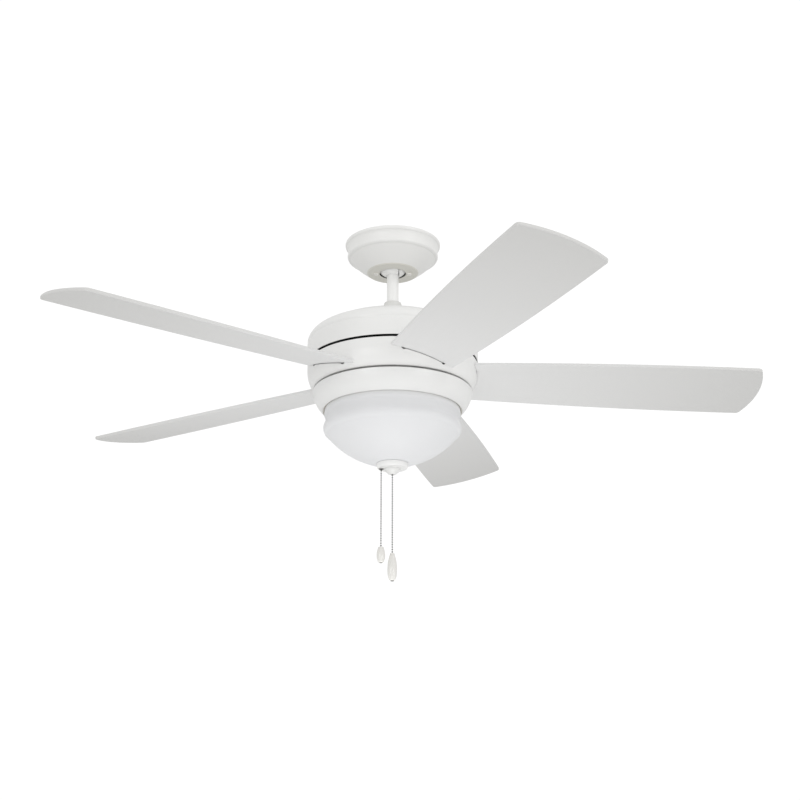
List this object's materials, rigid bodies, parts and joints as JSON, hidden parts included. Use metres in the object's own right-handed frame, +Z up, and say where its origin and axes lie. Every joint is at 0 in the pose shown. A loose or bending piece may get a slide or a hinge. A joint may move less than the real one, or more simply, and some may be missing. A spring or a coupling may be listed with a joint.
{
  "type": "ceiling fan with light",
  "caption": "Ceiling fan on a short downrod, with a drum-shaped motor housing, pitched flat blades, an opal glass bowl light underneath and pull chains with turned fobs.",
  "frame": {"origin": "on the fan's axis, on the top face of the hanger bracket, which meets the ceiling", "axes": "+Z up along the downrod into the ceiling; +X to the viewer's right and along the hanger bracket's strap, -Y towards the viewer; the first blade points 3.69 degrees from +X towards +Y"},
  "size_m": [1.2425, 1.2748, 0.6255],
  "materials": {
    "white_enamel": "satin white enamel",
    "white_plastic": "satin",
    "blade_white": "matt white laminate on board",
    "bright_screws": "white painted heads",
    "zinc_steel": "zinc plated",
    "dark_casting": "black paint on cast metal",
    "bearing_steel": "ground",
    "core_steel": "varnished laminations",
    "copper_winding": "enamelled copper wire",
    "black_plastic": "moulded",
    "brass_fittings": "plain",
    "opal_glass": "frosted opal",
    "gasket_rubber": "white silicone",
    "bead_chain": "nickel-plated bead chain"
  },
  "bodies": {
    "ceiling": {"hanger_bracket": "zinc_steel", "canopy": "white_enamel", "canopy_screws": "bright_screws"},
    "hanging_body": {"hanger_ball": "white_plastic", "ball_pin": "zinc_steel", "downrod": "white_enamel", "supply_cable": "black_plastic", "coupling_pin": "zinc_steel", "motor_coupling": "dark_casting", "coupling_cover": "white_enamel", "housing_dome": "white_enamel", "dome_screws": "zinc_steel", "reverse_switch_body": "white_plastic", "motor_shaft": "bearing_steel", "stator_core": "core_steel", "stator_windings": "copper_winding", "bearing_inner_races": "bearing_steel", "light_housing": "white_enamel", "shaft_nuts": "zinc_steel", "switch_cup": "zinc_steel", "lamp_plate": "white_enamel", "plate_standoffs": "zinc_steel", "capacitor": "black_plastic", "fan_switch_body": "black_plastic", "light_switch_body": "black_plastic", "lamp_sockets": "white_plastic", "bulb_caps": "brass_fittings", "bulb_globes": "opal_glass", "glass_bowl": "opal_glass", "bowl_gasket": "gasket_rubber", "centre_rod": "zinc_steel", "rod_nuts": "zinc_steel", "finial_plate": "white_enamel", "finial_knob": "white_enamel", "chain_eyelet": "bright_screws"},
    "rotor": {"motor_case_upper": "dark_casting", "motor_case_lower": "dark_casting", "case_screws": "zinc_steel", "rotor_ring": "core_steel", "bearing_outer_races": "bearing_steel", "bearing_balls": "bearing_steel", "rotor_band": "white_enamel", "band_posts": "zinc_steel", "band_screws": "bright_screws", "blade_irons": "zinc_steel", "iron_screws": "zinc_steel", "blade_1": "blade_white", "blade_2": "blade_white", "blade_3": "blade_white", "blade_4": "blade_white", "blade_5": "blade_white", "blade_screws": "bright_screws"},
    "fan_pull": {"fan_switch_arm": "brass_fittings", "fan_chain": "bead_chain", "fan_fob": "white_plastic"},
    "light_pull": {"light_switch_arm": "brass_fittings", "light_chain": "bead_chain", "light_fob": "white_plastic"},
    "reverse_slider": {"reverse_switch_knob": "black_plastic"}
  },
  "joints": [
    {"name": "hang_tilt", "type": "hinge", "parent": "ceiling", "child": "hanging_body", "pos_m": [0, 0, -0.034], "axis": [1, 0, 0], "range_deg": [-15, 15]},
    {"name": "fan_spin", "type": "hinge", "parent": "hanging_body", "child": "rotor", "pos_m": [0, 0, -0.266], "axis": [0, 0, 1], "continuous": true},
    {"name": "fan_chain_pull", "type": "slide", "parent": "hanging_body", "child": "fan_pull", "axis": [0, 0, -1], "range_m": [0, 0.01], "stiffness_N_per_m": 500, "springref_m": -0.002},
    {"name": "light_chain_pull", "type": "slide", "parent": "hanging_body", "child": "light_pull", "axis": [0, 0, -1], "range_m": [0, 0.01], "stiffness_N_per_m": 500, "springref_m": -0.002},
    {"name": "reverse_switch_slide", "type": "slide", "parent": "hanging_body", "child": "reverse_slider", "axis": [1, 0, 0], "range_m": [0, 0.006]}
  ]
}
